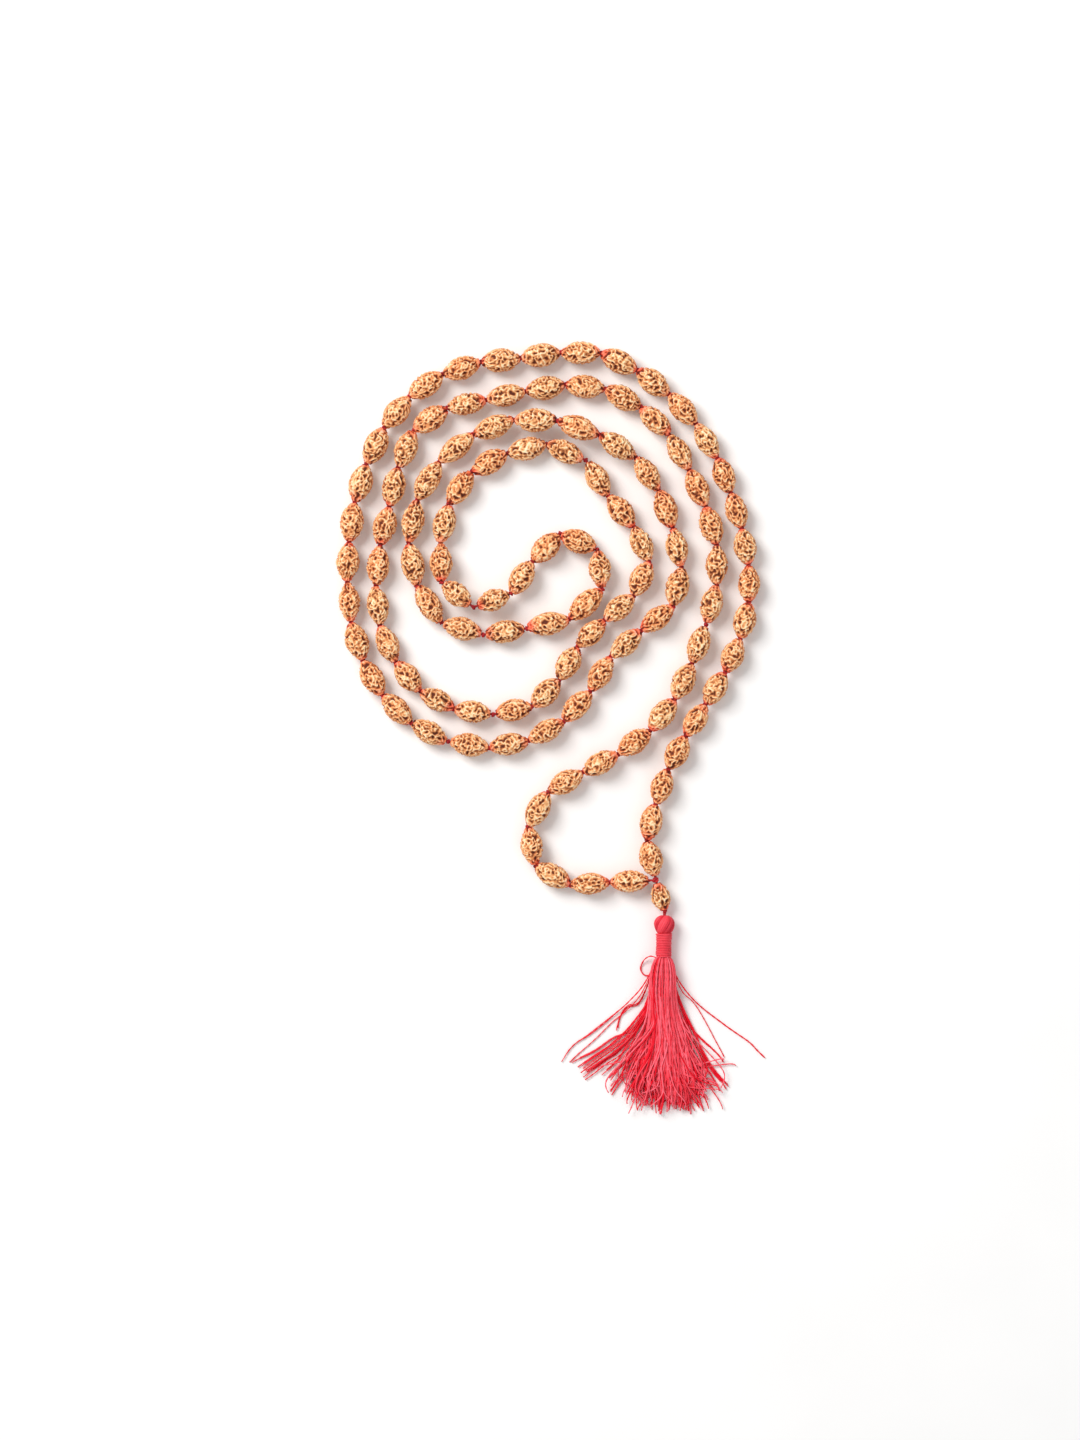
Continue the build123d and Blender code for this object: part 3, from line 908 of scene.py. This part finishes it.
def skirt_half_depth(down):
    """Half the thickness of the skirt, which has a belly just below the neck."""
    share = fan_share(down)
    belly = BELLY * np.exp(-(((share - BELLY_PLACE) / BELLY_SPAN) ** 2))
    return BUNDLE_RADIUS + belly - SKIRT_FLATTENING * share


def now_and_then(strong, slight, strong_share):
    """A random amount that is strong for a share of the threads and slight for the others."""
    return rng.normal(0, strong if rng.uniform() < strong_share else slight)


class Lock:
    """What the threads of one lock share: their place in the bundle, sway, end and tone."""

    def __init__(self):
        angle = rng.uniform(0, FULL_TURN)
        reach = math.sqrt(rng.uniform(0, 1))
        self.side, self.rise = reach * math.cos(angle), reach * math.sin(angle)
        self.drift = rng.normal(0, LOCK_DRIFT)
        self.sways = rng.normal(0, LOCK_SWAY, 2)
        self.phases = rng.uniform(0, FULL_TURN, 2)
        rounding = LOCK_ROUNDING * abs(self.side) ** 2.2
        self.end = SKIRT_END + LOCK_OVERRUN - rounding - rng.uniform(0, LOCK_SHORTENING)
        self.tone = rng.uniform(*LOCK_TONES)

    def sway(self, s):
        """How far two slow waves carry the lock to the side, at shares of its length."""
        return sum(
            amount * np.sin(phase + s * math.pi * (1.3 + 1.7 * wave))
            for wave, (amount, phase) in enumerate(zip(self.sways, self.phases)))


def skirt_thread(lock):
    """The path and the tone of one thread of a lock; the tone holds painted shade that darkens its lower
    threads.
    """
    s = np.linspace(0, 1, THREAD_STEPS)
    side = np.clip(lock.side + rng.normal(0, THREAD_SIDE), -1, 1)
    rise = np.clip(lock.rise + rng.normal(0, THREAD_RISE), -1, 1)
    end = lock.end - abs(rng.normal(0, THREAD_SHORTENING))
    down = SKIRT_TOP + (end - SKIRT_TOP) * s
    fanned = side + (lock.drift + rng.normal(0, THREAD_DRIFT)) * s**1.5
    across = fanned * skirt_half_width(down) + (lock.sway(s) + rng.normal(0, THREAD_SWAY)) * s**1.6
    crossing = now_and_then(*CROSSING)
    across = across + SKIRT_LEAN * smoothstep(0.25, 0.9, s) + crossing * smoothstep(0.35, 1, s)
    wave_size, wave_phase = rng.uniform(*WAVE_SIZES), rng.uniform(0, FULL_TURN)
    across = across + wave_size * s**2 * np.sin(wave_phase + s * rng.uniform(*WAVE_RATES))
    curl = now_and_then(*CURL)
    tip = smoothstep(rng.uniform(*CURL_STARTS), 1.0, s)
    across = across + curl * tip**1.5
    down = down - abs(curl) * CURL_SHORTENING * tip**2
    sunk = smoothstep(0.1, 0.75, s)
    middle = axis_height * (1 - sunk) + LYING_HEIGHT * sunk
    wave = LIFT_SIZE * np.sin(wave_phase * 2 + s * LIFT_RATE) * s
    height = (middle + rise * skirt_half_depth(down) + wave) * (1 - TIP_DROP * tip * rng.uniform(0, 1))
    path = tassel_points(across, down, np.maximum(height, THREAD + TABLE_CLEAR))
    # Painted shade: the lower threads of a lock are made darker, the upper ones lighter.
    return path, lock.tone + RISE_PAINTED_SHADE * rise + rng.normal(0, THREAD_SHADE)


def make_skirt_piece(name):
    """Several locks of threads as one piece."""
    paths, tones = [], []
    for _ in range(LOCKS_PER_PIECE):
        lock = Lock()
        for _ in range(THREADS_PER_LOCK):
            path, tone = skirt_thread(lock)
            paths.append(path)
            tones.append(tone)
    s = np.linspace(0, 1, THREAD_STEPS)
    gathered = THREAD_GATHERED + (1 - THREAD_GATHERED) * smoothstep(0.05, 0.3, s)
    radii = THREAD * rng.uniform(*THREAD_SIZES, len(paths))[:, None] * gathered
    radii = radii * (1 - THREAD_WORN * smoothstep(0.9, 1, s))
    skirt = Surface()
    add_tubes(skirt, np.stack(paths), radii, THREAD_COLUMNS, THREAD_PITCH, tone=np.clip(tones, 0.02, 1))
    skirt.piece(name, thread_look, "thread_bundle")


for number in range(SKIRT_PIECES):
    make_skirt_piece(f"skirt_threads_{number + 1}")

# Threads that have strayed from the skirt. Each run is (across, down) points, how many threads
# follow it and how far apart they spread.
RIGHT_LONG = ((2, 15), (5, 22), (11, 29), (20, 36), (28, 41), (31, 44), (35, 48))
RIGHT_RUNS = (
    (((2, 16), (6, 30), (10, 37), (13.5, 41), (17, 44), (20, 47), (21, 50)), 2, 0.5),
    (((2, 16), (6, 25), (10, 29), (14, 35), (17, 40), (20.5, 47), (20.5, 50)), 1, 0.3),
    (((1.5, 17), (6, 29), (10.5, 38), (14, 46), (18, 51), (23.5, 57)), 3, 1.0),
    (((1, 17), (6.5, 31), (12, 42), (16, 49), (20, 53.5), (22.5, 57)), 3, 0.9),
    (((1, 18), (7, 34), (13, 46), (17, 52), (20, 57.5)), 3, 0.9),
    (((1, 18), (7, 36), (13, 50), (17, 56), (19, 58), (17.5, 60)), 2, 0.6),
)
LEFT_RUNS = (
    (((-2, 15), (-6, 23.5), (-10.5, 29), (-16, 34), (-23, 40), (-28.5, 44), (-33, 50.5)), 2, 0.35),
    (((-2, 16), (-7, 27), (-12, 33), (-16, 36.5), (-21.5, 42), (-27, 47.5), (-29, 49.5)), 1, 0.3),
    (((-2, 16), (-7, 29), (-11, 31), (-13.5, 35), (-14.5, 40)), 2, 0.6),
    (((-1.5, 17), (-6, 32), (-10, 38.5), (-15, 41), (-20.5, 45), (-26.5, 48), (-29, 49.5)), 3, 0.5),
    (((-1.5, 16), (-4, 29), (-9.5, 38.5), (-15, 44), (-21, 48.5), (-26.5, 52.5)), 12, 1.7),
    (((-1, 17), (-5, 34), (-12.5, 45), (-18, 49), (-24.5, 54)), 5, 0.9),
    (((-1, 17), (-6, 36), (-11, 46), (-14, 50), (-18, 54)), 4, 1.4),
    (((-1, 17), (-6, 38), (-11, 50), (-14, 55), (-16.5, 59)), 5, 1.6),
    (((-2, 15), (-4.2, 14.6), (-6.2, 16), (-7, 18.6), (-5.9, 20.8), (-3.5, 21)), 2, 0.4),
)
STRAY_STEPS = 100
STRAY_THREAD = 0.22  # radius
STRAY_SIZES = (0.75, 1.15)
STRAY_TONES = (0.0, 0.3)
STRAY_WAVE, STRAY_WAVE_RATE = 0.18, 14
STRAY_CUT = 0.1  # at most this share of a thread's length is missing
STRAY_CLEAR = 0.05
STRAY_PILE = 0.9  # how high the threads of a full run pile up on each other
FULL_RUN = 6  # threads in such a run
STRAY_ARCH, STRAY_ARCH_RATE = 0.5, 5  # how high a thread arches off the table


def stray_paths(corners, count, spread):
    """Threads that follow one run from the neck, and drift apart towards their ends."""
    corners = np.asarray(corners, float)
    line = smooth_path(np.column_stack([corners, np.zeros(len(corners))]), STRAY_STEPS)
    along = unit(np.gradient(line, axis=0))
    s = np.linspace(0, 1, STRAY_STEPS)
    across_run = np.stack([-along[:, 1], along[:, 0], 0 * s], axis=-1)
    paths = []
    for _ in range(count):
        offset = rng.uniform(-1, 1) * spread
        phase = rng.uniform(0, FULL_TURN)
        sideways = offset * smoothstep(0.0, 0.6, s) + STRAY_WAVE * s * np.sin(phase + STRAY_WAVE_RATE * s)
        flat = line + across_run * sideways[:, None]
        kept = np.linspace(0, 1 - rng.uniform(0, STRAY_CUT), STRAY_STEPS)
        across, down = (np.interp(kept, s, flat[:, axis]) for axis in range(2))
        sunk = smoothstep(0.0, 0.55, kept)
        lie = THREAD + STRAY_CLEAR + rng.uniform(0, STRAY_PILE) * min(1.0, count / FULL_RUN)
        arch = STRAY_ARCH * np.sin(phase + STRAY_ARCH_RATE * s) ** 2 * s * (1 - s)
        paths.append(tassel_points(across, down, axis_height * (1 - sunk) + lie * sunk + arch))
    return paths


def make_strays():
    """All stray threads as one piece."""
    runs = (*LEFT_RUNS, *RIGHT_RUNS, (RIGHT_LONG, 1, 0.0))
    threads = [path for corners, count, spread in runs for path in stray_paths(corners, count, spread)]
    radii = STRAY_THREAD * rng.uniform(*STRAY_SIZES, len(threads))[:, None] * np.ones(STRAY_STEPS)
    tones = rng.uniform(*STRAY_TONES, len(threads))
    strays = Surface()
    add_tubes(strays, np.stack(threads), radii, THREAD_COLUMNS, THREAD_PITCH, tone=tones)
    strays.piece("stray_threads_loose", thread_look, "stray_threads")


make_strays()

# ---- stage, light and camera, all in metres ----------------------------------------------
FLOOR_SIZE = 6.0
FLOOR_LEVELS = ((0.3, grey(0.93)), (0.7, grey(0.95)))
FLOOR_MOTTLE = 40  # size of the floor's faint patches, in millimetres
FLOOR_ROUGHNESS = 0.9
KEY_PLACE = (-0.8, 0.7, 1.1)  # from the middle of the mala
KEY_SIZE = 0.8
KEY_POWER = 21.0  # watts
KEY_COLOUR = (1.0, 0.985, 0.965)
FILL_PLACE = (1.0, -0.5, 1.2)
FILL_SIZE = 2.0
FILL_POWER = 4.0
FILL_COLOUR = (0.97, 0.985, 1.0)
SKY_STRENGTH = 0.52
CAMERA_HEIGHT = 1.2
FRAME_HEIGHT = 0.4608  # the tall side of what the camera sees at the table
SENSOR = 36.0  # millimetres, the tall side
AIM_SHIFT = Vector((-0.0048, 0.0029, 0.0))  # the picture's middle from the middle of the mala

middle = (cad_box[0] + cad_box[1]) / 2


def floor_material():
    """A plain pale floor with a hint of unevenness."""
    look = Look("floor")
    look.set("Base Color", look.ramp(look.noise(FLOOR_MOTTLE, 2), *FLOOR_LEVELS))
    look.set("Roughness", FLOOR_ROUGHNESS)
    return look.material


def add_floor():
    """A square floor at the table's height, centred below the mala."""
    reach = FLOOR_SIZE / 2
    signs = ((-1, -1), (1, -1), (1, 1), (-1, 1))
    corners = [(x * reach + middle.x, y * reach + middle.y, TABLE_Z) for x, y in signs]
    mesh = bpy.data.meshes.new("floor")
    mesh.from_pydata(corners, [], [(0, 1, 2, 3)])
    mesh.materials.append(floor_material())
    floor = bpy.data.objects.new("floor", mesh)
    bpy.context.scene.collection.objects.link(floor)


def area_light(name, place, size, power, colour):
    """A square soft box that points at the middle of the mala."""
    data = bpy.data.lights.new(name, "AREA")
    data.size, data.energy, data.color = size, power, colour
    light = bpy.data.objects.new(name, data)
    light.location = middle + Vector(place)
    light.rotation_mode = "QUATERNION"
    light.rotation_quaternion = (-Vector(place)).to_track_quat("-Z", "Y")
    bpy.context.scene.collection.objects.link(light)


def add_sky():
    """Even white light from all round."""
    world = bpy.data.worlds.new("studio")
    world.use_nodes = True
    background = world.node_tree.nodes["Background"]
    background.inputs["Color"].default_value = (1, 1, 1, 1)
    background.inputs["Strength"].default_value = SKY_STRENGTH
    bpy.context.scene.world = world


def add_camera():
    """A camera straight above the mala, with +Y up in the picture."""
    data = bpy.data.cameras.new("camera")
    data.sensor_width = SENSOR
    data.lens = SENSOR * CAMERA_HEIGHT / FRAME_HEIGHT
    camera = bpy.data.objects.new("camera", data)
    camera.location = middle + AIM_SHIFT
    camera.location.z = TABLE_Z + CAMERA_HEIGHT
    bpy.context.scene.collection.objects.link(camera)
    bpy.context.scene.camera = camera


add_floor()
area_light("key", KEY_PLACE, KEY_SIZE, KEY_POWER, KEY_COLOUR)
area_light("fill", FILL_PLACE, FILL_SIZE, FILL_POWER, FILL_COLOUR)
add_sky()
add_camera()
bpy.context.scene.view_settings.view_transform = "Standard"
